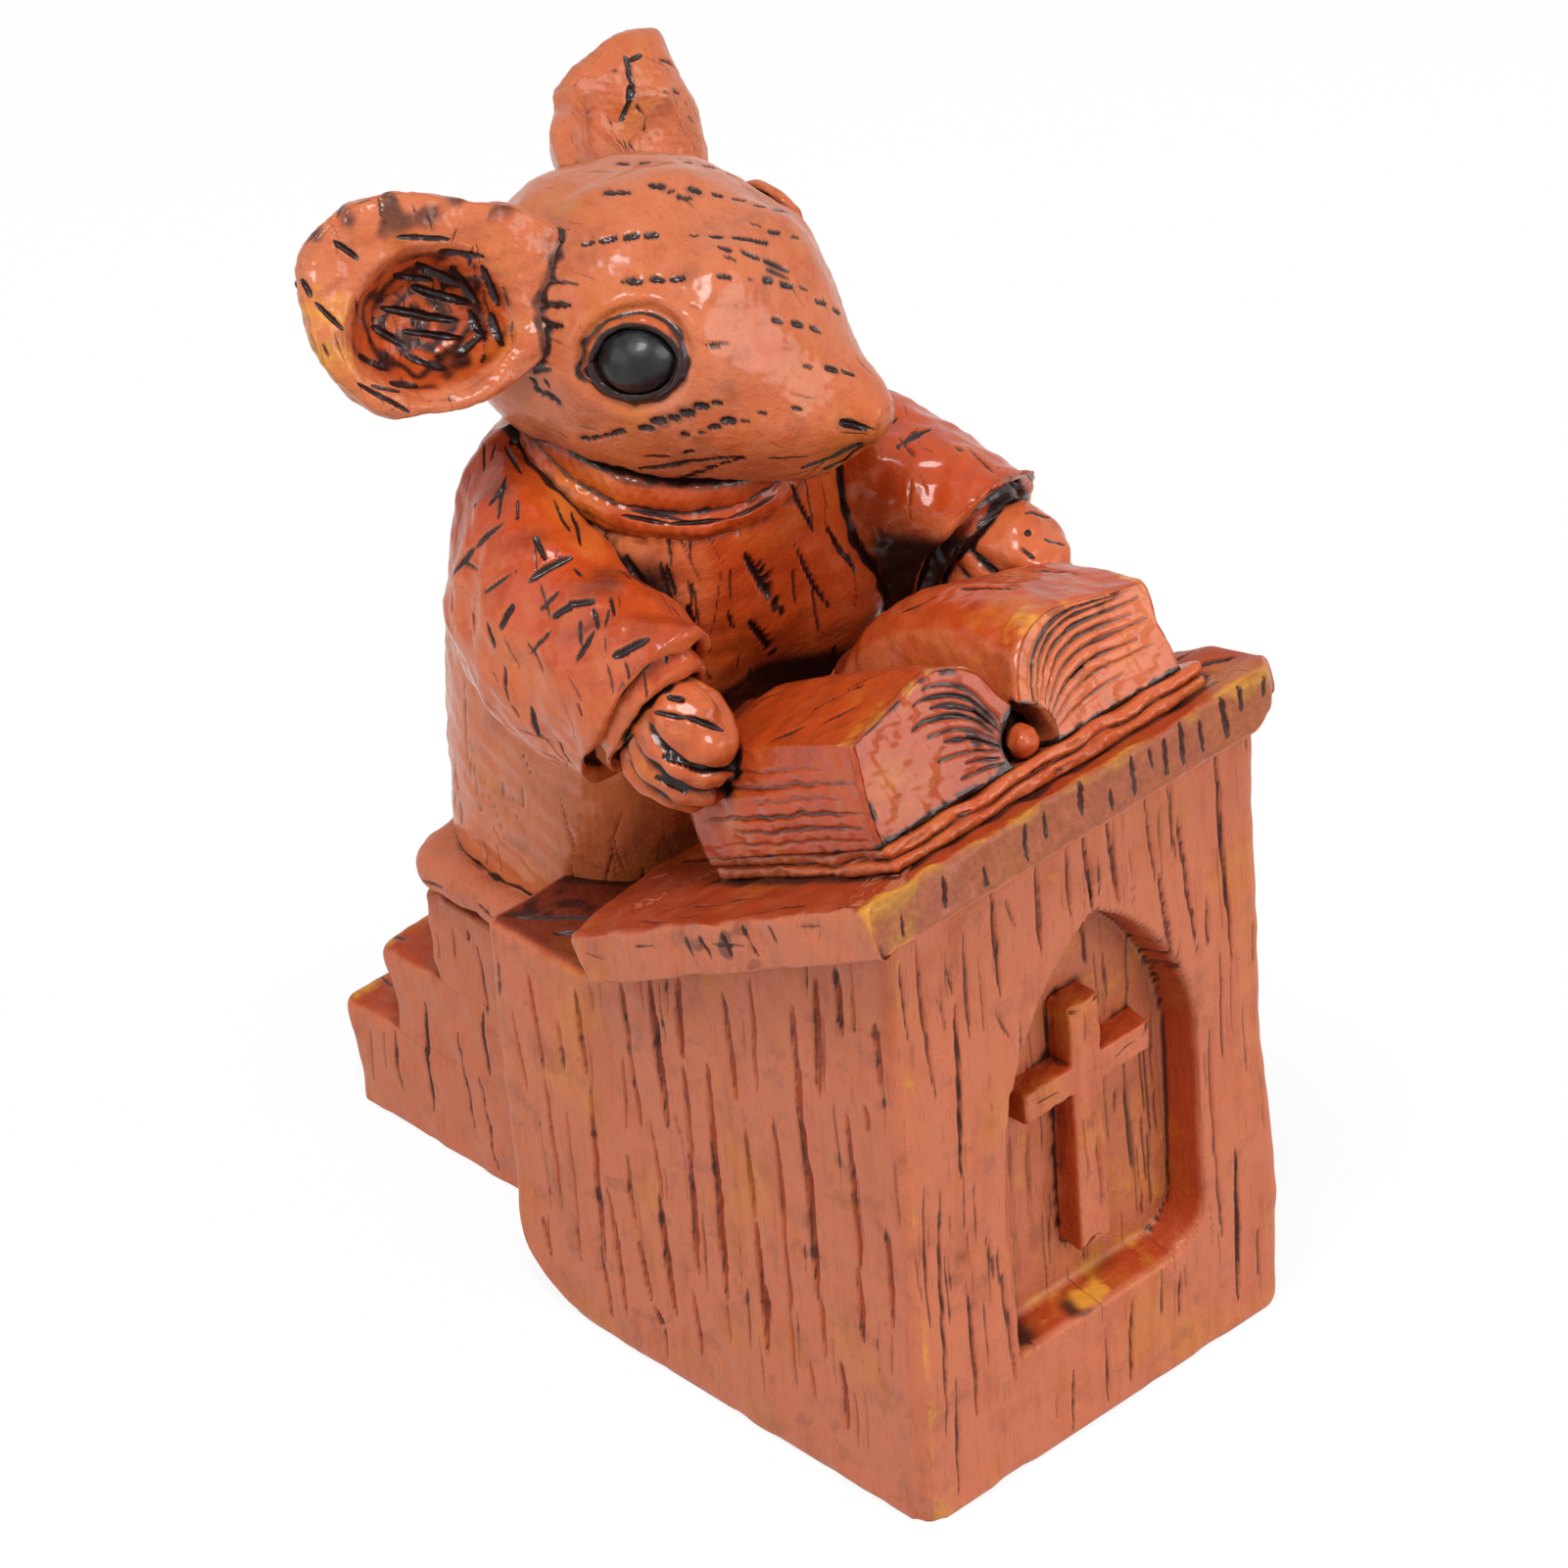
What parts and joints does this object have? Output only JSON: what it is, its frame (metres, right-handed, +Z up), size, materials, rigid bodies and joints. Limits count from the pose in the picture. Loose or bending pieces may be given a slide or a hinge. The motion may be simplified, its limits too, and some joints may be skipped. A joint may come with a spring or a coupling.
{
  "type": "mouse figurine",
  "caption": "Small cast ornament of a robed mouse reading an open book at a sloping pulpit with a cross in an arched recess and steps behind.",
  "frame": {"origin": "middle of the pulpit's flat underside", "axes": "+Z up; -Y is the front of the pulpit with the cross, +Y the steps; -X is the mouse's own right side"},
  "size_m": [0.0365, 0.0558, 0.0704],
  "materials": {
    "carved_resin": "satin",
    "red_resin": "glossy",
    "black_bead": "glossy"
  },
  "bodies": {
    "root": {"pulpit_body": "carved_resin", "pulpit_cross": "carved_resin", "desk_slab": "carved_resin", "book_cover": "red_resin", "page_block_right": "carved_resin", "page_block_left": "carved_resin", "book_spine_roll": "carved_resin", "stair_bottom_step": "carved_resin", "stair_middle_step": "carved_resin", "stair_top_step": "carved_resin", "landing_slab": "carved_resin", "robe_body": "red_resin", "robe_collar": "red_resin", "sleeve_right": "red_resin", "sleeve_left": "red_resin", "hand_right": "red_resin", "hand_left": "red_resin", "head": "red_resin", "nose": "red_resin", "ear_right": "red_resin", "ear_left": "red_resin", "eye_right": "black_bead", "eye_left": "black_bead", "eyelid_right": "red_resin", "eyelid_left": "red_resin"}
  },
  "joints": []
}
